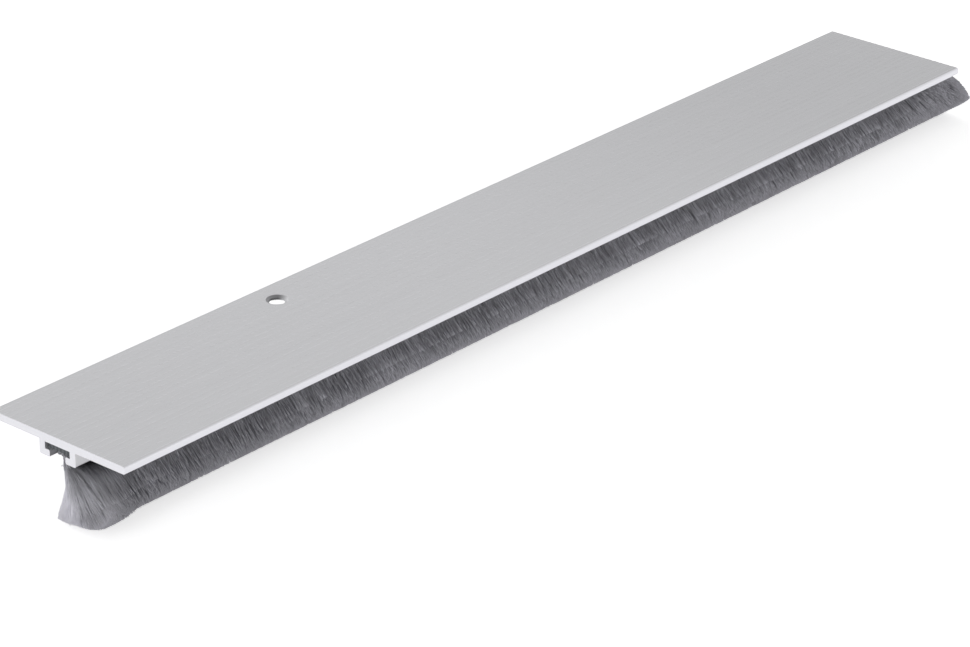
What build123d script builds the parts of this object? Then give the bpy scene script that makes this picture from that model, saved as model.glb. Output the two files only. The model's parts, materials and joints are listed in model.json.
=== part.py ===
from build123d import *
from math import cos, floor, radians, sin, sqrt
import os

# Brush door sweep: an extruded aluminium carrier whose channel holds a woven pile strip.
# The origin is the middle of the ribbed mounting face, +X runs along the strip, and the brush hangs to -Z.
os.makedirs("parts", exist_ok=True)

# Carrier plate
profile_length = 300.0
plate_width = 41.0
plate_thickness = 1.8
plate_edge_radius = 0.5
rib_height = 0.04
rib_width = 0.9
rib_pitch = 1.9

# Carrier channel
slot_width = 7.6
slot_height = 1.65
slot_roof_drop = 0.2  # the slot's roof lies this far under the plate
channel_wall = 1.7
lip_thickness = 1.65
lip_reach = 1.4
channel_corner_radius = 0.4
lip_edge_radius = 0.35
pick_tolerance = 0.01

# Screw hole, countersunk from both faces
hole_radius = 1.9
hole_from_end = 80.5
hole_from_edge = 7.15
hole_face_rim_radius = 2.7
hole_under_rim_radius = 3.5
hole_countersink_angle = 120.0

# Pile strip, a little set in at the carrier's near end and standing out of its far end
ribbon_set_in = 0.8
ribbon_stand_out = 2.5
bare_ribbon = 0.9  # the first tufts are missing from the near end
backing_side_clearance = 0.35
backing_top_clearance = 0.25
backing_corner_radius = 0.4

# Fan of fibres
pile_lip_clearance = 0.3
pile_reach = 17.7
fan_apex_rise = 0.7  # the fibres spread as if from this far inside the backing
fan_half_angle = 53.0
fan_corner_radius = 3.0
near_end_flare = 0.7
far_end_flare = 12.5
far_end_bow = 0.65  # share of the flare that is reached half way down
near_back_sweep_length = 23.8  # at the near end the back of the fan is swept in over this length
near_back_sweep_reach = 2.2
near_back_sweep_tuck = 2.9  # the neck is swept in this much further than the tips

# Tufts, parted by V-shaped gaps that open towards the tips
tuft_pitch = 5.0
tuft_gap = 0.9
tuft_gap_variation = 0.3
tuft_gap_start = 3.5
tuft_gap_start_variation = 2.0
tuft_lean = 1.1
tuft_slant = 3.6  # the tufts slant towards the near end, except at both ends
tuft_wander = 0.5
comb_clearance = 1.0
end_flare_onset = 12.0  # a high power keeps the flare to the last tufts
golden_angle = 137.508  # steps of this angle never fall into step with the row

# Heights and ends that the pieces share
plate_top = -rib_height
plate_underside = plate_top - plate_thickness
slot_roof = plate_underside - slot_roof_drop
lip_top = slot_roof - slot_height
channel_bottom = lip_top - lip_thickness
tip_height = lip_top - pile_reach
slot_opening = slot_width - 2 * lip_reach
channel_width = slot_width + 2 * channel_wall
rib_reach = plate_width / 2 - plate_edge_radius - rib_width / 2
rib_count = 2 * floor(rib_reach / rib_pitch) + 1
ribbon_near_end = ribbon_set_in - profile_length / 2
near_end = ribbon_near_end + bare_ribbon
far_end = ribbon_stand_out + profile_length / 2
strip_length = far_end - near_end

# Carrier profile: ribbed plate and lipped channel in one extrusion
with BuildPart() as carrier_profile:
    with BuildSketch(Plane.YZ) as section:
        with Locations((0, (plate_top + plate_underside) / 2)):
            RectangleRounded(plate_width, plate_thickness, plate_edge_radius)
        with GridLocations(rib_pitch, 0, rib_count, 1):
            Rectangle(rib_width, rib_height + plate_thickness / 2, align=(Align.CENTER, Align.MAX))
        with BuildSketch(mode=Mode.ADD) as channel:
            with Locations((0, plate_underside)):
                Rectangle(
                    channel_width, plate_underside - channel_bottom, align=(Align.CENTER, Align.MAX)
                )
            fillet(channel.vertices().group_by(Axis.Y)[0], channel_corner_radius)
        with Locations((0, slot_roof)):
            Rectangle(slot_width, slot_height, align=(Align.CENTER, Align.MAX), mode=Mode.SUBTRACT)
        with Locations((0, lip_top)):
            Rectangle(slot_opening, lip_thickness, align=(Align.CENTER, Align.MAX), mode=Mode.SUBTRACT)
        inner_corners = section.vertices().filter_by(
            lambda corner: abs(abs(corner.X) - slot_opening / 2) < pick_tolerance
        )
        fillet(inner_corners, lip_edge_radius)
    extrude(amount=profile_length / 2, both=True)
    hole_x = hole_from_end - profile_length / 2
    hole_y = plate_width / 2 - hole_from_edge
    with Locations(Location((hole_x, hole_y, plate_top))):
        CounterSinkHole(
            hole_radius, hole_face_rim_radius, counter_sink_angle=hole_countersink_angle
        )
    with Locations(Plane((hole_x, hole_y, plate_underside), z_dir=(0, 0, -1))):
        CounterSinkHole(
            hole_radius, hole_under_rim_radius, counter_sink_angle=hole_countersink_angle
        )
carrier_profile.part.label = "carrier_profile"
export_step(carrier_profile.part, "parts/carrier_profile.step")

# Brush backing: ribbon that rests on both lips with room above and beside it
backing_width = slot_width - 2 * backing_side_clearance
backing_thickness = slot_height - backing_top_clearance
with BuildPart() as brush_backing:
    with BuildSketch(Plane.YZ.offset(ribbon_near_end)) as ribbon:
        with Locations((0, lip_top)):
            Rectangle(backing_width, backing_thickness, align=(Align.CENTER, Align.MIN))
        fillet(ribbon.vertices().group_by(Axis.Y)[-1], backing_corner_radius)
    extrude(amount=bare_ribbon + strip_length)
brush_backing.part.label = "brush_backing"
export_step(brush_backing.part, "parts/brush_backing.step")

# Brush pile: neck through the channel's mouth, then a fan with an arched tip line
neck_half = slot_opening / 2 - pile_lip_clearance
fan_apex = lip_top + fan_apex_rise
fan_radius = fan_apex - tip_height
side_y = sin(radians(fan_half_angle))
side_z = -cos(radians(fan_half_angle))
neck_drop = channel_bottom - fan_apex
along = neck_half * side_y + neck_drop * side_z
side_length = sqrt(along**2 + fan_radius**2 - neck_half**2 - neck_drop**2) - along
shoulder_y = neck_half + side_length * side_y
shoulder_z = channel_bottom + side_length * side_z
fan_drop = channel_bottom - tip_height
with BuildPart() as brush_pile:
    with BuildSketch(Plane.YZ.offset(near_end - near_end_flare)) as fan:
        with BuildLine():
            Polyline(
                (shoulder_y, shoulder_z),
                (neck_half, channel_bottom),
                (neck_half, lip_top),
                (-neck_half, lip_top),
                (-neck_half, channel_bottom),
                (-shoulder_y, shoulder_z),
            )
            ThreePointArc((-shoulder_y, shoulder_z), (0, tip_height), (shoulder_y, shoulder_z))
        make_face()
        shoulders = fan.vertices().sort_by(Axis.X)
        fillet([shoulders[0], shoulders[-1]], fan_corner_radius)
    extrude(amount=strip_length + near_end_flare + far_end_flare)

    # the tips spread past the near end of the strip, and the back of that end is swept in
    near_cut = Plane((near_end, 0, channel_bottom), x_dir=(0, 1, 0), z_dir=(fan_drop, 0, -near_end_flare))
    split(bisect_by=near_cut, keep=Keep.TOP)
    sweep_rise = shoulder_y - near_back_sweep_reach
    sweep_tilt = near_back_sweep_tuck * near_back_sweep_length / fan_drop
    sweep_cut = Plane(
        (near_end, near_back_sweep_reach, tip_height),
        x_dir=(near_back_sweep_length, sweep_rise, 0),
        z_dir=(sweep_rise, -near_back_sweep_length, -sweep_tilt),
    )
    split(bisect_by=sweep_cut, keep=Keep.TOP)

    # at the far end the last tufts splay out like a bell
    bell_rim = tip_height - comb_clearance
    bell_waist = (channel_bottom + bell_rim) / 2
    bell_end = far_end + far_end_flare
    with BuildSketch(Plane.XZ):
        with BuildLine():
            ThreePointArc(
                (far_end, channel_bottom),
                (far_end + far_end_bow * far_end_flare, bell_waist),
                (bell_end, bell_rim),
            )
            Polyline(
                (bell_end, bell_rim),
                (bell_end + comb_clearance, bell_rim),
                (bell_end + comb_clearance, fan_apex),
                (far_end, fan_apex),
                (far_end, channel_bottom),
            )
        make_face()
    revolve(axis=Axis((0, 0, fan_apex), (1, 0, 0)), mode=Mode.SUBTRACT)

    # a comb with one thin tooth a gap parts the fan into tufts of uneven width and lean
    tuft_count = round(strip_length / tuft_pitch)
    comb_back = tip_height - comb_clearance
    comb_foot = comb_back - comb_clearance
    comb_near = near_end - near_end_flare
    comb_far = far_end + far_end_flare
    comb_outline = [(comb_far, comb_back), (comb_far, comb_foot)]
    comb_outline += [(comb_near, comb_foot), (comb_near, comb_back)]
    for index in range(1, tuft_count):
        turn = radians(index * golden_angle)
        root_x = near_end + strip_length * index / tuft_count + tuft_wander * sin(turn)
        share = 2 * index / tuft_count - 1
        end_flare = far_end_flare if share > 0 else near_end_flare
        end_share = abs(share) ** end_flare_onset
        tip_x = root_x + tuft_lean * sin(2 * turn) - tuft_slant * (1 - end_share)
        tip_x += end_flare * share * end_share
        half_gap = (tuft_gap + tuft_gap_variation * sin(3 * turn)) / 2
        gap_top = channel_bottom - tuft_gap_start - tuft_gap_start_variation * cos(turn)
        comb_outline += [(tip_x - half_gap, comb_back), (root_x, gap_top), (tip_x + half_gap, comb_back)]
    with BuildSketch(Plane.XZ):
        with BuildLine():
            Polyline(*comb_outline, close=True)
        make_face()
    extrude(amount=shoulder_y + fan_corner_radius, both=True, mode=Mode.SUBTRACT)
brush_pile.part.label = "brush_pile"
export_step(brush_pile.part, "parts/brush_pile.step")
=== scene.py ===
import json
import math
import bpy
import numpy as np
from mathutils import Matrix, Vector


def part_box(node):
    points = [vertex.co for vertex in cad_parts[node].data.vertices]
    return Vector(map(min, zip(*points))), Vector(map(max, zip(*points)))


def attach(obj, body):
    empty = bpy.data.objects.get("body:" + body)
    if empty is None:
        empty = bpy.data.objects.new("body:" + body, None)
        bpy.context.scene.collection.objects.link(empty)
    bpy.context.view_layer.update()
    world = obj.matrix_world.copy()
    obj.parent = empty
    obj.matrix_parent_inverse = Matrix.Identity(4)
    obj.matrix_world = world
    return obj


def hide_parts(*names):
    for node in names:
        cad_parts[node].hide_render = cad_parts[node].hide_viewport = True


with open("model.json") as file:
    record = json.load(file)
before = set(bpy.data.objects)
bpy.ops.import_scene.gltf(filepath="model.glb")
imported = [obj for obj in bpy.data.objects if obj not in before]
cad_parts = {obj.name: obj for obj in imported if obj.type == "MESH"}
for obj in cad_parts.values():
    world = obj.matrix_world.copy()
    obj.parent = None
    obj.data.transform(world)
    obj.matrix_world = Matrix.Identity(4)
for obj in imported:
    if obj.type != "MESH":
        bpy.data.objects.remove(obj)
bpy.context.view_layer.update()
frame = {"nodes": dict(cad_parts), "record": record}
mm = 0.001

# corners of the three solids, in mm
carrierLow, carrierHigh = (np.array(corner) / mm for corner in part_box("carrier_profile"))
backingLow, backingHigh = (np.array(corner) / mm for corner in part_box("brush_backing"))
pileLow = np.array(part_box("brush_pile")[0]) / mm


def inMetres(lengths):
    return tuple(length * mm for length in lengths)


def deselectAll():
    if bpy.context.mode != "OBJECT":
        bpy.ops.object.mode_set(mode="OBJECT")
    bpy.ops.object.select_all(action="DESELECT")


def turnTowards(thing, place, aim):
    look = Vector(aim) - Vector(place)
    thing.rotation_euler = look.to_track_quat("-Z", "Y").to_euler()


# Camera, a long lens from the near end, above the front edge
cameraSetup = {
    "place": (-0.637603, -0.545910, 0.368438),
    "aim": (-0.048250, -0.030581, 0.0),
    "lens": 143.842,
    "sensor": 36.0,
}


def addCamera(setup):
    deselectAll()
    bpy.ops.object.camera_add(location=setup["place"])
    camera = bpy.context.object
    camera.name = "photoCamera"
    turnTowards(camera, setup["place"], setup["aim"])
    camera.data.lens = setup["lens"]
    camera.data.sensor_width = setup["sensor"]
    camera.data.sensor_fit = "HORIZONTAL"
    bpy.context.scene.camera = camera


addCamera(cameraSetup)
print("camera placed")


# Node helpers: a socket takes a number, a colour or another node's output
def setSockets(tree, node, sockets):
    for key, value in sockets.items():
        if isinstance(value, bpy.types.NodeSocket):
            tree.links.new(value, node.inputs[key])
        else:
            node.inputs[key].default_value = value


def addNode(tree, kind, sockets=None, **settings):
    node = tree.nodes.new("ShaderNode" + kind)
    for name, value in settings.items():
        setattr(node, name, value)
    setSockets(tree, node, sockets or {})
    return node


def mathNode(tree, operation, *values):
    return addNode(tree, "Math", dict(enumerate(values)), operation=operation).outputs[0]


def mapRange(tree, value, given, wanted, curve="LINEAR"):
    sockets = {"Value": value}
    sockets["From Min"], sockets["From Max"] = given
    sockets["To Min"], sockets["To Max"] = wanted
    return addNode(tree, "MapRange", sockets, interpolation_type=curve).outputs["Result"]


def mixColour(tree, share, first, second, blend="MIX"):
    sockets = {0: share, 6: first, 7: second}  # the node's factor and its two colours
    return addNode(tree, "Mix", sockets, data_type="RGBA", blend_type=blend).outputs[2]


def splitAxes(tree, vector):
    return addNode(tree, "SeparateXYZ", {0: vector}).outputs


def stretchedNoise(tree, where, scale, detail, roughness):
    mapping = addNode(tree, "Mapping", {"Vector": where, "Scale": scale})
    sockets = {"Vector": mapping.outputs[0], "Scale": 1.0, "Detail": detail, "Roughness": roughness}
    return addNode(tree, "TexNoise", sockets).outputs["Fac"]


def bumpNormal(tree, height, strength, depth):
    sockets = {"Height": height, "Strength": strength, "Distance": depth * mm}
    return addNode(tree, "Bump", sockets).outputs[0]


def emptyTree(owner):
    owner.use_nodes = True
    owner.node_tree.nodes.clear()
    return owner.node_tree


def startFinish(name):
    finish = bpy.data.materials.new(name)
    tree = emptyTree(finish)
    skin = addNode(tree, "BsdfPrincipled")
    addNode(tree, "OutputMaterial", {"Surface": skin.outputs[0]})
    return finish, tree, skin


# Studio: pale floor under the brush tips, white surroundings and soft lamps
studio = {
    "floorSize": 6.0,
    "floorDrop": 0.15,  # mm under the lowest tip
    "floorColour": (0.86, 0.86, 0.86, 1),
    "floorLift": 0.60,  # white added where the floor is seen or mirrored
    "worldFill": 0.62,
    "overhead": 0.45,  # the ceiling is darker than the walls
    "overheadSpan": (0.45, 0.95),  # how far up it starts, and where it is darkest
    "lamps": {
        "keyLamp": {"place": (-0.35, -1.25, 0.40), "size": (2.0, 0.9), "power": 5.6, "sheen": True},
        "endLamp": {"place": (-1.30, -0.30, 0.45), "size": (0.9, 0.9), "power": 4.0, "sheen": False},
        "backLamp": {"place": (0.30, 1.25, 0.30), "size": (1.2, 1.2), "power": 7.0, "sheen": False},
    },
    "lampAim": (0.0, 0.0, -0.008),
}


def whiteShare(tree):
    # one for rays that show the surroundings: camera, glossy and transmission
    path = addNode(tree, "LightPath").outputs
    shown = mathNode(tree, "MAXIMUM", path["Is Camera Ray"], path["Is Glossy Ray"])
    return mathNode(tree, "MAXIMUM", shown, path["Is Transmission Ray"])


def addFloor(setup):
    deselectAll()
    level = pileLow[2] * mm - setup["floorDrop"] * mm
    bpy.ops.mesh.primitive_plane_add(size=setup["floorSize"], location=(0, 0, level))
    floor = bpy.context.object
    floor.name = "studioFloor"
    paint = bpy.data.materials.new("paleFloor")
    tree = emptyTree(paint)
    matte = addNode(tree, "BsdfDiffuse", {"Color": setup["floorColour"]})
    lift = mathNode(tree, "MULTIPLY", whiteShare(tree), setup["floorLift"])
    glow = addNode(tree, "Emission", {"Strength": lift})
    both = addNode(tree, "AddShader", {0: matte.outputs[0], 1: glow.outputs[0]})
    addNode(tree, "OutputMaterial", {"Surface": both.outputs[0]})
    floor.data.materials.append(paint)


def addWorld(setup):
    world = bpy.data.worlds.new("whiteStudio")
    bpy.context.scene.world = world
    tree = emptyTree(world)
    level = mapRange(tree, whiteShare(tree), (0.0, 1.0), (setup["worldFill"], 1.0))
    upward = splitAxes(tree, addNode(tree, "TexCoord").outputs["Generated"])["Z"]
    grade = mapRange(tree, upward, setup["overheadSpan"], (1.0, setup["overhead"]), "SMOOTHSTEP")
    sky = addNode(tree, "Background", {"Color": grade, "Strength": level})
    addNode(tree, "OutputWorld", {"Surface": sky.outputs[0]})


def addLamps(setup):
    for name, lamp in setup["lamps"].items():
        deselectAll()
        bpy.ops.object.light_add(type="AREA", location=lamp["place"])
        light = bpy.context.object
        light.name = name
        light.data.shape = "ELLIPSE"
        light.data.size, light.data.size_y = lamp["size"]
        light.data.energy = lamp["power"]
        light.visible_glossy = lamp["sheen"]  # only the key lamp shows in the plate's sheen
        turnTowards(light, lamp["place"], setup["lampAim"])


addFloor(studio)
addWorld(studio)
addLamps(studio)
bpy.context.scene.view_settings.view_transform = "Standard"
print("studio lit")

# Carrier profile: satin aluminium as it leaves the die, with sawn ends.
# A noise has a scale, a detail and a roughness, and a pair of pairs maps one range to another
carrierFinish = {
    "satin": (0.645, 0.645, 0.661, 1),
    "satinDark": (0.634, 0.634, 0.649, 1),
    "streaks": ((5.0, 950.0, 950.0), 5.0, 0.62),
    "streakDark": ((0.35, 0.68), (0.0, 0.75)),
    "streakBump": (0.05, 0.02),  # strength, and depth in mm
    "streakRoughness": ((0.3, 0.7), (0.42, 0.46)),
    "channelZone": ((4.2, 9.1), (1.0, 0.12)),  # mm from the middle, where the streaks show most
    "clouds": ((14.0, 60.0, 60.0), 3.0, 0.5),
    "cloudDark": ((0.35, 0.65), (0.0, 0.25)),
    "farPaintedShade": (0.855, 0.855, 0.855, 1),  # painted shade: the strip is darker towards its far end
    "farSpan": (-50.0, 140.0),  # mm along the strip where it sets in
    "ribSide": (1.50, 1.50, 1.50, 1),  # painted light on the low ribs' sides, so their shading hardly shows
    "ribSideFacing": 0.5,  # a face that looks up less than this is a side
    "ribSideDepth": 0.039,  # mm under the crests
    "ribEdgePaintedLight": (1.07, 1.07, 1.07, 1),  # and painted light along their edges, over the shade in the grooves
    "ribEdgeBand": (0.02, 0.18),  # mm
    "ribEdgeDepth": 0.06,
    "ribPitch": 1.9,
    "ribWidth": 0.9,
    # bare metal of the edges and sawn ends, made brighter with painted sheen
    "bareMetalAndSheen": (0.755, 0.753, 0.789, 1),
    "edgeZone": (0.42, 0.168),  # mm from the long edges where the bare metal and its painted sheen start and are whole
    "endZone": (0.02, 0.01),  # and from the sawn ends
    "saw": ((100.0, 900.0, 5200.0), 3.0, 0.6),
    "sawShade": ((0.3, 0.7), (0.78, 1.0)),
    "frontRim": (1.14, 1.14, 1.14, 1),  # the rounded top of the front edge catches the light
    "rimStart": (-0.04, -0.20),  # how far the rim has turned to the front where that starts
    "rimStop": (-0.55, -0.85),  # and where it ends
    "metal": 0.85,
    # painted shade in the countersink, and painted light on its far front side
    "countersinkShade": (0.30, 0.30, 0.31, 1),
    "countersinkLit": (0.72, 0.72, 0.74, 1),
    "drilledRadius": (2.56, 2.66),  # mm, where the countersink's painted shade is whole and where it stops
    "drilledLitSpan": (0.532, 3.458),  # mm towards the far front
}


def holePlace():
    for mount in frame["record"]["mounts"]:
        if mount["name"] == "screw_hole":
            return mount["pos_m"][:2]


def satinTone(tree, setup, place, axes, streak):
    # streaks over the channel and faint clouds, with painted shade darkening the strip towards its far end
    zone, strength = setup["channelZone"]
    across = mathNode(tree, "ABSOLUTE", axes["Y"])
    zoneShare = mapRange(tree, across, inMetres(zone), strength, "SMOOTHSTEP")
    streakDark = mapRange(tree, streak, *setup["streakDark"])
    streakShare = mathNode(tree, "MULTIPLY", streakDark, zoneShare)
    cloud = stretchedNoise(tree, place, *setup["clouds"])
    cloudShare = mapRange(tree, cloud, *setup["cloudDark"])
    darkShare = mathNode(tree, "ADD", streakShare, cloudShare)
    satin = mixColour(tree, darkShare, setup["satin"], setup["satinDark"])
    # painted shade towards the far end
    farShare = mapRange(tree, axes["X"], inMetres(setup["farSpan"]), (0.0, 1.0), "SMOOTHSTEP")
    return mixColour(tree, farShare, satin, setup["farPaintedShade"], "MULTIPLY")


def ribPaintedLight(tree, setup, axes, facing, satin):
    # painted light: the ribs' sides are lightened, and their edges too towards the far end
    crest = carrierHigh[2]
    upright = mathNode(tree, "LESS_THAN", facing["Z"], setup["ribSideFacing"])
    onSide = mathNode(tree, "GREATER_THAN", axes["Z"], (crest - setup["ribSideDepth"]) * mm)
    sideShare = mathNode(tree, "MULTIPLY", upright, onSide)
    satin = mixColour(tree, sideShare, satin, setup["ribSide"], "MULTIPLY")
    fromMiddle = mathNode(tree, "PINGPONG", axes["Y"], setup["ribPitch"] / 2 * mm)
    fromEdge = mathNode(tree, "SUBTRACT", fromMiddle, setup["ribWidth"] / 2 * mm)
    fromEdge = mathNode(tree, "ABSOLUTE", fromEdge)
    band = mapRange(tree, fromEdge, inMetres(setup["ribEdgeBand"]), (1.0, 0.0), "SMOOTHSTEP")
    onFace = mathNode(tree, "GREATER_THAN", axes["Z"], (crest - setup["ribEdgeDepth"]) * mm)
    edgeShare = mathNode(tree, "MULTIPLY", band, onFace)
    farShare = mapRange(tree, axes["X"], inMetres(setup["farSpan"]), (0.0, 1.0))
    edgeShare = mathNode(tree, "MULTIPLY", edgeShare, farShare)
    return mixColour(tree, edgeShare, satin, setup["ribEdgePaintedLight"], "MULTIPLY")


def bareMetalAndSheenTone(tree, setup, place, axes, facing, satin):
    # bare metal along the edges and on the sawn ends, brightened by painted sheen, and a painted highlight
    # on the rounded front edge
    shares = []
    for axis, reach, zone in (("Y", carrierHigh[1], "edgeZone"), ("X", carrierHigh[0], "endZone")):
        out = mathNode(tree, "ABSOLUTE", axes[axis])
        span = inMetres(reach - depth for depth in setup[zone])
        shares.append(mapRange(tree, out, span, (0.0, 1.0)))
    saw = stretchedNoise(tree, place, *setup["saw"])
    sawShade = mapRange(tree, saw, *setup["sawShade"])
    endShare = mathNode(tree, "MULTIPLY", shares[1], sawShade)
    bareMetalAndSheenShare = mathNode(tree, "MAXIMUM", shares[0], endShare)
    metal = mixColour(tree, bareMetalAndSheenShare, satin, setup["bareMetalAndSheen"])
    turning = mapRange(tree, facing["Y"], setup["rimStart"], (0.0, 1.0), "SMOOTHSTEP")
    turned = mapRange(tree, facing["Y"], setup["rimStop"], (1.0, 0.0), "SMOOTHSTEP")
    rimShare = mathNode(tree, "MULTIPLY", turning, turned)
    return mixColour(tree, rimShare, metal, setup["frontRim"], "MULTIPLY")


def countersinkShading(tree, setup, axes, metal):
    # painted shade in the countersink, with painted light on its far front side
    holeX, holeY = holePlace()
    offX = mathNode(tree, "SUBTRACT", axes["X"], holeX)
    offY = mathNode(tree, "SUBTRACT", axes["Y"], holeY)
    squares = [mathNode(tree, "MULTIPLY", off, off) for off in (offX, offY)]
    fromHole = mathNode(tree, "SQRT", mathNode(tree, "ADD", *squares))
    holeShare = mapRange(tree, fromHole, inMetres(setup["drilledRadius"]), (1.0, 0.0))
    litSide = mathNode(tree, "SUBTRACT", offX, offY)
    litShare = mapRange(tree, litSide, inMetres(setup["drilledLitSpan"]), (0.0, 1.0))
    countersinkShade = mixColour(tree, litShare, setup["countersinkShade"], setup["countersinkLit"])
    return mixColour(tree, holeShare, metal, countersinkShade)


def millAluminium(setup):
    finish, tree, skin = startFinish("millAluminium")
    place = addNode(tree, "TexCoord").outputs["Object"]
    axes = splitAxes(tree, place)
    facing = splitAxes(tree, addNode(tree, "NewGeometry").outputs["Normal"])
    streak = stretchedNoise(tree, place, *setup["streaks"])
    satin = satinTone(tree, setup, place, axes, streak)
    satin = ribPaintedLight(tree, setup, axes, facing, satin)
    metal = bareMetalAndSheenTone(tree, setup, place, axes, facing, satin)
    setSockets(tree, skin, {
        "Base Color": countersinkShading(tree, setup, axes, metal),
        "Metallic": setup["metal"],
        "Roughness": mapRange(tree, streak, *setup["streakRoughness"]),
        "Normal": bumpNormal(tree, streak, *setup["streakBump"]),
    })
    return finish


def dress(node, finish):
    piece = frame["nodes"][node]
    piece.data.materials.clear()
    piece.data.materials.append(finish)


dress("carrier_profile", millAluminium(carrierFinish))
print("carrier finished")

# Brush backing: tightly woven ribbon
backingFinish = {
    "dark": (0.060, 0.066, 0.070, 1),
    "light": (0.150, 0.160, 0.170, 1),
    "threadPitch": 0.55,  # mm
    "fuzz": ((2500.0, 2500.0, 2500.0), 3.0, 0.6),
    "heightShare": ((-0.6, 1.6), (0.0, 1.0)),
    "roughness": 0.8,
    "bump": (0.5, 0.1),  # strength, and depth in mm
}


def wovenRibbon(setup):
    finish, tree, skin = startFinish("wovenRibbon")
    place = addNode(tree, "TexCoord").outputs["Object"]
    axes = splitAxes(tree, place)
    turn = math.pi / (setup["threadPitch"] * mm)
    waves = []
    for axis in ("X", "Y"):
        angle = mathNode(tree, "MULTIPLY", axes[axis], turn)
        waves.append(mathNode(tree, "SINE", angle))
    weave = mathNode(tree, "MULTIPLY", *waves)
    height = mathNode(tree, "ADD", weave, stretchedNoise(tree, place, *setup["fuzz"]))
    share = mapRange(tree, height, *setup["heightShare"])
    setSockets(tree, skin, {
        "Base Color": mixColour(tree, share, setup["dark"], setup["light"]),
        "Roughness": setup["roughness"],
        "Normal": bumpNormal(tree, height, *setup["bump"]),
    })
    return finish


dress("brush_backing", wovenRibbon(backingFinish))
print("backing finished")

# Brush pile: fine bristles in locks, rooted in the channel's mouth and trimmed to a round fan.
# Lengths are in mm and angles in degrees, and a fan angle is negative at the front
pile = {
    "seed": 7,
    "layers": 6,  # pieces from the front of the fan to its back
    "sides": 3,  # of a bristle
    "fanHalfAngle": 53.0,
    "apexRise": 0.7,
    "sideCrowd": 0.35,  # how much denser the sides of the fan are than its middle
    "cornerRadius": 3.0,
    "rootHalf": 1.45,
    "rootRise": 0.6,  # above the channel's mouth
    "rootWander": 0.25,
    "nearFlare": 0.7,  # how far the tips reach past each end of the roots
    "farFlare": 14.5,
    "slant": 3.6,  # the tips lean to the near end
    "slantStart": 16.0,  # except close to it
    "farSpread": 26.0,  # length of strip over which they turn the other way
    "spreadSteps": 2000,
    "farBow": 2.5,
    "farWiden": 0.24,  # the splayed far end opens wider, with its outermost bristles trimmed
    "farTrim": 0.36,
    "farTrimAngle": 38.0,
    "sweepLength": 26.0,  # the back of the near end is swept in over this length
    "sweepReach": 2.2,
    "backAngle": -25.0,  # from here to the middle the front passes into that back
    "nearBulge": 0.9,  # the near end's front tips stand out
    "nearBulgeSpan": (4.0, 10.5),  # from the end, where that fades
    "nearBulgeRise": (-1.6, 2.4),  # and where it grows
    "frontAngles": (12.0, 32.0),  # in front of the middle, where the front starts and is whole
    "nearDrop": 0.9,  # and the lowest tips there are shorter
    "nearDropLength": 6.0,
    "nearBow": 0.7,
    "nearBowLength": 3.0,
    "nearBowMost": 0.5,  # past the near end of the roots
    "nearTuck": 1.2,
    "nearThin": 0.70,  # share of bristles left at the near end's back
    "nearThinLength": 7.0,
    "lockPitch": 2.3,  # along the strip
    "lockTurns": 15,  # locks round the fan
    "lockWander": 0.25,  # of a lock's pitch
    "lockSpread": 0.42,
    "endRows": 6,  # more rows of locks close to both ends
    "endRowDepth": 1.8,
    "bristlesPerLock": 37,
    "gatherMid": (0.0, 0.30),
    "gatherTip": (-0.05, 0.10),
    "calmLength": 4.0,  # close to both ends the bristles are steadier
    "calmLeast": 0.2,
    "lean": (0.16, 0.66),  # for a lock and for a bristle in it, as in the next three
    "leanTurn": (0.5, 1.6),
    "bowAlong": (0.16, 0.30),
    "bowOut": (0.18, 0.25),
    "partings": 38,  # places where the locks stand apart under the plate
    "partingStart": 12.0,
    "partingWidth": (0.6, 1.6),
    "partingPush": (0.20, 0.60),
    "shortShare": 0.06,
    "shortLength": (0.82, 0.97),
    "shortStart": 6.0,
    "trim": 0.14,
    "thickness": 0.155,
    "tipThickness": 0.128,
}

# Tones of the bristles, from 0 for dark to 1 for light
pileTone = {
    "bristle": (0.455, 0.06),  # mean and spread
    "lockSpread": 0.06,
    "brightShare": 0.05,  # a few single bristles are brighter
    "brightLift": 0.12,
    "alongPlaces": (0.0, 12.0, 100.0),  # from the near end, and the far end is added
    "along": (-0.20, -0.19, -0.01, 0.01),
    "aroundAngles": (30.0, 44.0, 53.0),
    "around": (0.12, 0.01, -0.08),
    "backPaintedLight": 1.0,  # painted light on the near end's thin back, where light shines through it
    "backPaintedLightSpan": (8.25, 2.75),  # from the end, where that starts and is whole
    "facePaintedLight": 0.10,  # and a little painted light on its face
    "facePaintedLightLength": 4.0,
    "paintedLightSpread": (0.7, 1.3),
}

# where the roots start and stop, the channel's mouth, and the fan's apex and radius
near, far = pileLow[0] + pile["nearFlare"], backingHigh[0]
mouth = carrierLow[2]
apex = backingLow[2] + pile["apexRise"]
fanRadius = apex - pileLow[2]


def ramp(value, start, stop):
    # 0 up to the start, 1 from the stop on
    return np.clip((value - start) / (stop - start), 0, 1)


def column(values):
    return values[:, None]


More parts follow.
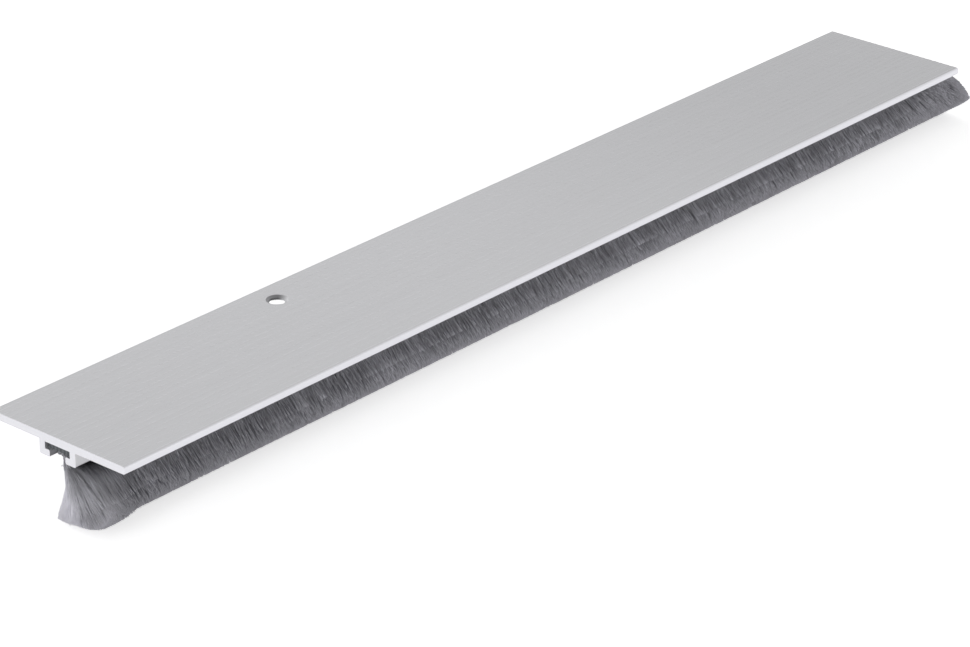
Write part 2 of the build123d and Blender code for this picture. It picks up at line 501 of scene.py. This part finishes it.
def strandTemplate(sides, bends, pointed):
    # a strand along Z with a ring at each bend, its root drawn to a point where it is hidden
    deselectAll()
    height = bends + 1
    bpy.ops.mesh.primitive_cylinder_add(vertices=sides, radius=1, depth=height, location=(0, 0, height / 2))
    strand = bpy.context.object
    bpy.ops.object.transform_apply(location=True, rotation=True, scale=True)
    bpy.ops.object.mode_set(mode="EDIT")
    for bend in range(1, height):
        bpy.ops.mesh.select_all(action="SELECT")
        bpy.ops.mesh.bisect(plane_co=(0, 0, bend), plane_no=(0, 0, 1))
    bpy.ops.mesh.select_all(action="DESELECT")
    if pointed:
        bpy.ops.object.mode_set(mode="OBJECT")
        for vertex in strand.data.vertices:
            vertex.select = vertex.co.z < 0.5  # the lowest ring
        bpy.ops.object.mode_set(mode="EDIT")
        bpy.ops.mesh.merge(type="CENTER")
    bpy.ops.mesh.select_all(action="SELECT")
    bpy.ops.mesh.normals_make_consistent(inside=False)
    bpy.ops.object.mode_set(mode="OBJECT")
    corners = np.array([vertex.co for vertex in strand.data.vertices])
    faces = [list(face.vertices) for face in strand.data.polygons]
    bpy.data.objects.remove(strand)
    return corners, faces


def twoScales(rng, sizes, owner):
    # a random amount shared by a lock, and another one for each bristle
    return rng.normal(0, sizes[0], owner.max() + 1)[owner] + rng.normal(0, sizes[1], len(owner))


def lockCentres(setup, rng, start, stop):
    rows = round((stop - start) / setup["lockPitch"])
    rowX = start + (np.arange(rows) + 0.5) * (stop - start) / rows
    endRows = (np.arange(setup["endRows"]) + 0.5) * setup["endRowDepth"] / setup["endRows"]
    rowX = np.concatenate([rowX, start + endRows, stop - endRows])
    turnPitch = 2 / setup["lockTurns"]
    turn = (np.arange(setup["lockTurns"]) + 0.5) * turnPitch - 1
    lockX, lockTurn = (grid.ravel() for grid in np.meshgrid(rowX, turn))
    lockX = lockX + rng.normal(0, setup["lockWander"] * setup["lockPitch"], lockX.size)
    lockTurn = lockTurn + rng.normal(0, setup["lockWander"] * turnPitch, lockTurn.size)
    return lockX, lockTurn


def tipSpread(setup):
    # the tips lean to the near end, and spread past both ends of the strip
    places = np.linspace(near, far, setup["spreadSteps"])
    farPart = ramp(places, far - setup["farSpread"], far)
    slantPart = ramp(places, near, near + setup["slantStart"])
    slant = setup["nearFlare"] + (setup["slant"] - setup["nearFlare"]) * slantPart
    return places, places - slant + (slant + setup["farFlare"]) * farPart**2


def partingPush(setup, rng, rootX):
    count = setup["partings"]
    partingX = rng.uniform(near + setup["partingStart"], far, count)
    width = rng.uniform(*setup["partingWidth"], count)
    push = rng.uniform(*setup["partingPush"], count)
    apart = (column(rootX) - partingX) / width
    return (push * np.sign(apart) * np.exp(-apart**2)).sum(axis=1)


def tipRadius(setup, angle):
    # the fan's shoulders are rounded, so the outermost bristles are trimmed shorter
    corner = setup["cornerRadius"]
    half = setup["fanHalfAngle"]
    span = np.degrees(corner / (fanRadius - corner))
    past = ramp(np.abs(angle), half - span, half)
    return fanRadius - corner * (1 - np.sqrt(1 - past**2))


def tipLengths(setup, rng, tipAngle, fromTip, splay):
    count = tipAngle.size
    isShort = (rng.random(count) < setup["shortShare"]) & (fromTip > setup["shortStart"])
    short = np.where(isShort, rng.uniform(*setup["shortLength"], count), 1.0)
    bulgeStart, bulgeStop = setup["nearBulgeSpan"]
    bulge = ramp(fromTip, bulgeStop, bulgeStart)
    bulge = bulge**2 * (3 - 2 * bulge) * ramp(fromTip, *setup["nearBulgeRise"])
    frontShare = ramp(-tipAngle, *setup["frontAngles"])
    length = tipRadius(setup, tipAngle) + setup["nearBulge"] * bulge * frontShare
    length = length - setup["nearDrop"] * (1 - frontShare) * np.exp(-fromTip / setup["nearDropLength"])
    length = length * short - rng.uniform(0, setup["trim"], count)
    outermost = ramp(np.abs(tipAngle), setup["farTrimAngle"], setup["fanHalfAngle"])
    return length * (1 - setup["farTrim"] * splay * outermost)


def bristleMarks(tones, rng, owner, fromNear, fromTip, fanAngle, backShare):
    # how light each bristle is, and how much painted light it carries
    count = owner.size
    tone = rng.normal(*tones["bristle"], count)
    tone = tone + tones["brightLift"] * (rng.random(count) < tones["brightShare"])
    tone = tone + rng.normal(0, tones["lockSpread"], owner.max() + 1)[owner]
    tone = tone + np.interp(fromNear, (*tones["alongPlaces"], far - near), tones["along"])
    tone = tone + np.interp(np.abs(fanAngle), tones["aroundAngles"], tones["around"])
    # painted light on the near end's thin back, and a little on its face
    paintedLight = tones["backPaintedLight"] * backShare * ramp(fromNear, *tones["backPaintedLightSpan"])
    paintedLight = paintedLight + tones["facePaintedLight"] * np.exp(-fromTip / tones["facePaintedLightLength"])
    return np.clip(np.c_[tone, paintedLight * rng.uniform(*tones["paintedLightSpread"], count)], 0, 1)


def layBristles(setup, tones):
    rng = np.random.default_rng(setup["seed"])
    half = setup["fanHalfAngle"]
    tipStart, tipStop = pileLow[0], far + setup["farFlare"]
    lockX, lockTurn = lockCentres(setup, rng, tipStart, tipStop)
    owner = np.repeat(np.arange(lockX.size), setup["bristlesPerLock"])

    # each bristle's place in its lock
    count = owner.size
    offX = rng.normal(0, setup["lockSpread"] * setup["lockPitch"], count)
    offTurn = rng.normal(0, setup["lockSpread"] * 2 / setup["lockTurns"], count)
    tipX = np.clip(lockX[owner] + offX, tipStart, tipStop)
    turn = np.clip(lockTurn[owner] + offTurn, -1, 1)
    crowd = setup["sideCrowd"]
    fanAngle = half * ((1 + crowd) * turn - crowd * turn**3)

    # its root, and how far it is from both ends
    places, spread = tipSpread(setup)
    rootX = np.interp(tipX, spread, places)
    flare = tipX - rootX
    splay = ramp(flare, 0, setup["farFlare"])
    fromNear = rootX - near
    fromTip = tipX - tipStart
    fromEnds = np.minimum(fromNear, far - rootX)
    calm = np.maximum(ramp(fromEnds, 0, setup["calmLength"]), setup["calmLeast"])

    # the back of the near end is swept in and thin
    reach = setup["sweepReach"] + fromTip / setup["sweepLength"] * (fanRadius - setup["sweepReach"])
    sweptSine = np.clip(reach / fanRadius, 0, math.sin(math.radians(half)))
    sweptHalf = np.degrees(np.arcsin(sweptSine))
    fanAngle = (fanAngle + half) / (2 * half) * (sweptHalf + half) - half
    backShare = ramp(fanAngle, setup["backAngle"], 0)
    thinned = backShare * ramp(fromNear, setup["nearThinLength"], 0)
    kept = rng.random(count) > (1 - setup["nearThin"]) * thinned

    # lean, bow and trim
    gatherMid = rng.uniform(*setup["gatherMid"], lockX.size)[owner]
    gatherTip = rng.uniform(*setup["gatherTip"], lockX.size)[owner]
    leanX = twoScales(rng, setup["lean"], owner) * calm
    tipAngle = fanAngle + twoScales(rng, setup["leanTurn"], owner) - gatherTip * half * offTurn
    tipAngle = np.clip(tipAngle, -half, sweptHalf)
    push = partingPush(setup, rng, rootX)
    bowX = twoScales(rng, setup["bowAlong"], owner) * calm - gatherMid * offX + push
    bowX = bowX + setup["nearBow"] * np.exp(-fromTip / setup["nearBowLength"]) + setup["farBow"] * splay
    bowOut = twoScales(rng, setup["bowOut"], owner)
    tipLength = tipLengths(setup, rng, tipAngle, fromTip, splay)

    # root, middle and tip of each bristle
    angle = np.radians(tipAngle * (1 + setup["farWiden"] * splay))
    root = np.c_[rootX, setup["rootHalf"] * fanAngle / half, np.full(count, mouth + setup["rootRise"])]
    root[:, 2] += rng.uniform(-setup["rootWander"], setup["rootWander"], count)
    tip = np.c_[rootX, tipLength * np.sin(angle), apex - tipLength * np.cos(angle)]
    drop = (mouth - tip[:, 2]) / (mouth - pileLow[2])
    depth = np.where(flare < 0, drop, tipLength / fanRadius)
    tip[:, 0] += flare * depth + leanX - gatherTip * offX * calm
    tip[:, 0] = np.clip(tip[:, 0], near - setup["nearFlare"] * depth, tipStop)
    run = tip - root
    out = np.c_[np.zeros(count), -run[:, 2], run[:, 1]]
    out /= column(np.linalg.norm(out, axis=1))
    out *= column(np.where(fanAngle < 0, -1, 1))
    middle = (root + tip) / 2 + out * column(bowOut * np.abs(turn))
    middle[:, 1] -= setup["nearTuck"] * thinned
    middle[:, 0] = np.maximum(middle[:, 0] + bowX, near - setup["nearBowMost"])
    rings = np.stack([root, middle, tip], axis=1)
    marks = bristleMarks(tones, rng, owner, fromNear, fromTip, fanAngle, backShare)
    return rings[kept], marks[kept], fanAngle[kept], rng


# Map of a strand's sides and ends: one small field for each strand, with a margin round it
strandField = {
    "map": "OFBake",
    "size": (0.9, 0.76),
    "margin": (0.04, 0.12),
    "sideWidth": 0.7,
    "endMiddle": 0.5,
    "endSize": (0.1, 0.02),
    "endHeights": (-0.08, 1.08),
    "level": 0.01,  # what differs by less counts as level
}
sideGuide = np.array([0.31, 0.87, 0.38])  # a direction that no strand runs along


def addFields(mesh, corners, faces, count, levels, setup):
    around = np.arctan2(corners[:, 1], corners[:, 0]) / (2 * math.pi) % 1
    onAxis = np.hypot(corners[:, 0], corners[:, 1]) < setup["level"]
    endWidth, endHeight = setup["endSize"]
    endLow, endHigh = setup["endHeights"]
    fields = []
    for face in faces:
        place = around[face]
        height = corners[face, 2] / (levels - 1)
        if np.ptp(height) < setup["level"]:  # an end of the strand
            turn = 2 * math.pi * place
            fieldX = setup["endMiddle"] + endWidth * np.cos(turn)
            fieldY = np.where(height > 0.5, endHigh, endLow) + endHeight * np.sin(turn)
        else:
            place = np.where(place < place.max() - 0.5, place + 1, place)
            middle = place[~onAxis[face]].mean()
            fieldX = np.where(onAxis[face], middle, place) * setup["sideWidth"]
            fieldY = height
        fields += list(zip(fieldX, fieldY))
    fields = np.array(fields) * setup["size"] + setup["margin"]
    grid = math.ceil(math.sqrt(count))
    cell = np.c_[np.arange(count) % grid, np.arange(count) // grid]
    places = (cell[:, None, :] + fields[None, :, :]) / grid
    mesh.uv_layers.new(name=setup["map"]).data.foreach_set("uv", places.ravel())


def strandMesh(name, template, rings, marks, thickness, rng):
    # one copy of the template for each strand, bent along its rings
    corners, faces = template
    count, levels = rings.shape[:2]
    run = np.gradient(rings, axis=1)
    run /= np.linalg.norm(run, axis=2)[:, :, None]
    side = np.cross(run, sideGuide)
    side /= np.linalg.norm(side, axis=2)[:, :, None]
    other = np.cross(run, side)
    level = np.rint(corners[:, 2]).astype(int)
    radius = np.hypot(corners[:, 0], corners[:, 1]) * np.array(thickness)[level] / 2
    angle = np.arctan2(corners[:, 1], corners[:, 0])
    turn = angle[None, :] + column(rng.uniform(0, 2 * math.pi, count))
    points = rings[:, level]
    points = points + side[:, level] * (np.cos(turn) * radius)[:, :, None]
    points = points + other[:, level] * (np.sin(turn) * radius)[:, :, None]

    loops = np.concatenate(faces) + column(np.arange(count)) * len(corners)
    sizes = np.tile([len(face) for face in faces], count)
    mesh = bpy.data.meshes.new(name)
    mesh.vertices.add(count * len(corners))
    mesh.vertices.foreach_set("co", (points * mm).ravel())
    mesh.loops.add(loops.size)
    mesh.loops.foreach_set("vertex_index", loops.ravel())
    mesh.polygons.add(len(sizes))
    mesh.polygons.foreach_set("loop_start", np.cumsum(sizes) - sizes)
    mesh.polygons.foreach_set("use_smooth", np.ones(len(sizes), bool))
    mesh.update(calc_edges=True)

    # tone of the strand, how far along it a point lies, and how much painted light the strand carries
    values = np.empty((count, len(corners), 3))
    values[:, :, 0] = marks[:, :1]
    values[:, :, 1] = level / (levels - 1)
    values[:, :, 2] = marks[:, 1:]
    mesh.attributes.new("strandToneAndLight", "FLOAT_VECTOR", "POINT").data.foreach_set("vector", values.ravel())
    addFields(mesh, corners, faces, count, levels, strandField)
    piece = bpy.data.objects.new(name, mesh)
    bpy.context.collection.objects.link(piece)
    return piece


pileFinish = {
    "dark": (0.200, 0.198, 0.2165, 1),
    "light": (0.700, 0.692, 0.757, 1),
    # near white mixed in as painted light where thin bristles are backlit
    "paintedLight": (0.93, 0.92, 0.985, 1),
    "paintedLightAlong": ((0.45, 1.0), (0.75, 2.4)),  # the painted light is strongest towards the tips
    "shade": (  # painted shade and light along each bristle, from root to tip: dark where the plate shades it, lightest at the tips
        (0.0, 0.50),
        (0.48, 0.80),
        (0.60, 0.98),
        (0.775, 0.68),
        (0.91, 0.79),
        (1.0, 1.13),
    ),
    "roughness": 0.55,
    "gloss": 0.35,
}


def greyPile(setup):
    finish, tree, skin = startFinish("greyPile")
    marks = addNode(tree, "Attribute", attribute_name="strandToneAndLight").outputs["Vector"]
    tone, along, paintedLight = splitAxes(tree, marks)
    colour = mixColour(tree, tone, setup["dark"], setup["light"])
    # painted shade and light along each bristle
    shade = addNode(tree, "ValToRGB", {"Fac": along})
    stops = shade.color_ramp.elements
    while len(stops) < len(setup["shade"]):
        stops.new(0.5)
    for stop, (place, level) in zip(stops, setup["shade"]):
        stop.position = place
        stop.color = (level, level, level, 1)
    shaded = mixColour(tree, 1.0, colour, shade.outputs["Color"], "MULTIPLY")
    # painted light mixed over the shaded colour
    paintedLightShare = mathNode(tree, "MULTIPLY", paintedLight, mapRange(tree, along, *setup["paintedLightAlong"]))
    setSockets(tree, skin, {
        "Base Color": mixColour(tree, paintedLightShare, shaded, setup["paintedLight"]),
        "Roughness": setup["roughness"],
        "Specular IOR Level": setup["gloss"],
    })
    return finish


def seatPiece(piece, finish, node):
    piece.data.materials.append(finish)
    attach(piece, "root")
    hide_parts(node)


def makePile(setup, tones, finish):
    template = strandTemplate(setup["sides"], bends=1, pointed=True)
    rings, marks, fanAngle, rng = layBristles(setup, tones)
    thickness = (0.0, setup["thickness"], setup["tipThickness"])
    order = np.argsort(fanAngle, kind="stable")
    for index, part in enumerate(np.array_split(order, setup["layers"])):
        name = f"pile_layer_{index + 1}"
        piece = strandMesh(name, template, rings[part], marks[part], thickness, rng)
        seatPiece(piece, finish, "brush_pile")
        print(name, len(part), "bristles")


greyPileFinish = greyPile(pileFinish)
makePile(pile, pileTone, greyPileFinish)
print("pile laid")

# Yarn feet: the bundles that come out of the ribbon and open into bristles
feet = {
    "seed": 11,
    "sides": 6,
    "pitch": 0.95,
    "columns": (-1.58, -0.53, 0.53, 1.58),
    "thickness": (0.80, 0.98, 0.86),
    "sink": 0.08,
    "length": 1.55,
    "wander": 0.07,
    "wanderMost": 0.12,
    "fromEnds": 0.45,
    "tone": (0.35, 0.08),
}


def makeFeet(setup, finish):
    rng = np.random.default_rng(setup["seed"])
    template = strandTemplate(setup["sides"], bends=1, pointed=False)
    rows = round((far - near) / setup["pitch"])
    rowX = near + (np.arange(rows) + 0.5) * (far - near) / rows
    footX, footY = (grid.ravel() for grid in np.meshgrid(rowX, setup["columns"]))
    count = footX.size
    top = backingLow[2] + setup["sink"]
    levels = len(setup["thickness"])
    rings = np.empty((count, levels, 3))
    for index in range(levels):
        wander = rng.normal(0, setup["wander"], (count, 2))
        wander = wander.clip(-setup["wanderMost"], setup["wanderMost"])
        rings[:, index, 0] = (footX + wander[:, 0]).clip(near + setup["fromEnds"], far - setup["fromEnds"])
        rings[:, index, 1] = footY + wander[:, 1]
        rings[:, index, 2] = top - setup["length"] * index / (levels - 1)
    marks = np.c_[rng.normal(*setup["tone"], count), np.zeros(count)].clip(0, 1)
    piece = strandMesh("pile_feet", template, rings, marks, setup["thickness"], rng)
    seatPiece(piece, finish, "brush_pile")


makeFeet(feet, greyPileFinish)
print("feet set")

# Wisps: stray bristles that wave across the others on the flanks and over the near end
wisps = {
    "seed": 23,
    "sides": 3,
    "bends": 4,
    "onFlanks": 600,
    "frontShare": 0.6,
    "fromEnds": (4.0, 12.0),  # near and far
    "cornerCut": 0.8,  # of the fan's rounded shoulder
    "onEnd": 240,
    "endAngles": (-50.0, -3.0),
    "endShort": 0.6,
    "endLift": 0.5,  # of the lift on the flanks
    "start": (0.12, 0.45),  # share of the way from root to tip
    "stop": (0.72, 1.0),
    "lean": 1.3,
    "wave": (0.06, 0.28),
    "waves": (0.6, 1.5),
    "lift": (0.05, 0.40),
    "thickness": 0.105,
    "tone": (0.48, 0.08),
    # painted light on the wisps over the near end, most on its back
    "endPaintedLight": (0.0, 0.25),
    "backPaintedLight": 0.7,
    "backPaintedLightStart": -6.0,  # across the strip
}


def wispWays(setup, rng, count):
    # shares along each wisp, and its sideways wander
    start = column(rng.uniform(*setup["start"], count))
    stop = column(rng.uniform(*setup["stop"], count))
    steps = np.linspace(0, 1, setup["bends"] + 2)
    share = start + (stop - start) * steps
    lean = column(rng.normal(0, setup["lean"], count)) * (share - start)
    turns = column(rng.uniform(*setup["waves"], count)) * share + column(rng.random(count))
    wave = column(rng.uniform(*setup["wave"], count)) * np.sin(2 * math.pi * turns)
    return share, lean + wave


def flankWisps(setup, rng):
    count = setup["onFlanks"]
    share, wander = wispWays(setup, rng, count)
    side = np.where(rng.random(count) < setup["frontShare"], -1.0, 1.0)
    fromNear, fromFar = setup["fromEnds"]
    rootX = rng.uniform(near + fromNear, far - fromFar, count)
    rootX = np.where(side > 0, np.maximum(rootX, near + pile["sweepLength"]), rootX)
    places, spread = tipSpread(pile)
    flare = np.interp(rootX, places, spread) - rootX
    angle = math.radians(pile["fanHalfAngle"])
    reach = fanRadius - pile["cornerRadius"] * setup["cornerCut"]
    lift = column(rng.uniform(*setup["lift"], count))
    tipY = reach * math.sin(angle)
    tipZ = apex - reach * math.cos(angle)
    alongX = column(rootX) + column(flare) * share + wander
    alongY = pile["rootHalf"] + (tipY - pile["rootHalf"]) * share + lift * math.cos(angle)
    alongZ = mouth + (tipZ - mouth) * share + lift * math.sin(angle)
    return np.stack([alongX, column(side) * alongY, alongZ], axis=2)


def endWisps(setup, rng):
    count = setup["onEnd"]
    share, wander = wispWays(setup, rng, count)
    fanAngle = column(rng.uniform(*setup["endAngles"], count))
    angle = np.radians(fanAngle)
    tuck = pile["nearTuck"] * ramp(fanAngle, pile["backAngle"], 0) * 4 * share * (1 - share)
    rootY = pile["rootHalf"] * (1 - share) * angle
    alongY = rootY + fanRadius * share * np.sin(angle) + wander - tuck
    alongZ = mouth - (mouth - apex + (fanRadius - setup["endShort"]) * np.cos(angle)) * share
    lift = column(rng.uniform(*setup["lift"], count)) * setup["endLift"]
    alongX = near - pile["nearFlare"] * share - lift
    return np.stack([alongX, alongY, alongZ], axis=2)


def makeWisps(setup, finish):
    rng = np.random.default_rng(setup["seed"])
    template = strandTemplate(setup["sides"], setup["bends"], pointed=False)
    rings = np.concatenate([flankWisps(setup, rng), endWisps(setup, rng)])
    count = len(rings)
    thickness = np.full(setup["bends"] + 2, setup["thickness"])
    ofEnd = np.arange(count) >= setup["onFlanks"]
    # painted light on the wisps over the near end, most on its back
    backness = ramp(rings[:, -1, 1], setup["backPaintedLightStart"], 0)
    endPaintedLight = rng.uniform(*setup["endPaintedLight"], count) + setup["backPaintedLight"] * backness
    paintedLight = np.where(ofEnd, endPaintedLight, 0.0)
    marks = np.clip(np.c_[rng.normal(*setup["tone"], count), paintedLight], 0, 1)
    piece = strandMesh("pile_wisps", template, rings, marks, thickness, rng)
    seatPiece(piece, finish, "brush_pile")


makeWisps(wisps, greyPileFinish)
print("wisps laid")

# Loose yarns: frayed ends that hang across the neck where the strip was cut
looseYarns = {
    "seed": 5,
    "sides": 5,
    "perEnd": 6,
    "bends": 10,
    "startHalf": 1.9,
    "stopHalf": 2.3,
    "stopShare": (0.2, 1.0),
    "nearNarrow": 0.65,
    "nearShift": 0.9,  # towards the front, where the near end's neck is
    "hang": 0.15,  # below the ribbon
    "drop": (1.2, 5.5),
    "dropCurve": 0.8,
    "wave": (0.15, 0.40),
    "waves": (0.8, 1.8),
    "waveAcross": 0.5,
    "waveStart": 0.25,  # share of the yarn over which its wave grows
    "proud": (0.15, 0.50),  # outside the last bristles
    "proudSpan": (0.15, 0.85),
    "farLean": 1.1,
    "thickness": (0.17, 0.10),
    "tone": (0.5, 0.9),
    # painted light, strongest towards the yarns' ends
    "paintedLight": (0.08, 0.25),
}


def makeYarns(setup, finish):
    rng = np.random.default_rng(setup["seed"])
    template = strandTemplate(setup["sides"], setup["bends"], pointed=False)
    count = 2 * setup["perEnd"]
    steps = np.linspace(0, 1, setup["bends"] + 2)
    startY = column(rng.uniform(-1, 1, count)) * setup["startHalf"]
    stopY = -np.sign(startY) * column(rng.uniform(*setup["stopShare"], count)) * setup["stopHalf"]
    atNear = column(np.arange(count) < setup["perEnd"])
    acrossY = startY + (stopY - startY) * steps
    acrossY = np.where(atNear, setup["nearNarrow"] * acrossY - setup["nearShift"], acrossY)
    turns = column(rng.uniform(*setup["waves"], count)) * steps + column(rng.random(count))
    wave = column(rng.uniform(*setup["wave"], count)) * np.sin(2 * math.pi * turns)
    drop = column(rng.uniform(*setup["drop"], count)) * steps ** setup["dropCurve"]
    alongY = acrossY + wave * setup["waveAcross"]
    alongZ = backingLow[2] - setup["hang"] - drop + wave * ramp(steps, 0, setup["waveStart"])
    proudTurn = math.pi * np.linspace(*setup["proudSpan"], setup["bends"] + 2)
    proud = column(rng.uniform(*setup["proud"], count)) * np.sin(proudTurn)
    farX = far + proud + np.clip(mouth - alongZ, 0, None) * setup["farLean"]
    alongX = np.where(atNear, near - proud, farX)
    marks = np.c_[rng.uniform(*setup["tone"], count), rng.uniform(*setup["paintedLight"], count)]
    thickness = np.linspace(*setup["thickness"], setup["bends"] + 2)
    rings = np.stack([alongX, alongY, alongZ], axis=2)
    piece = strandMesh("loose_yarns", template, rings, marks, thickness, rng)
    seatPiece(piece, finish, "brush_pile")


makeYarns(looseYarns, greyPileFinish)
print("yarns hung")
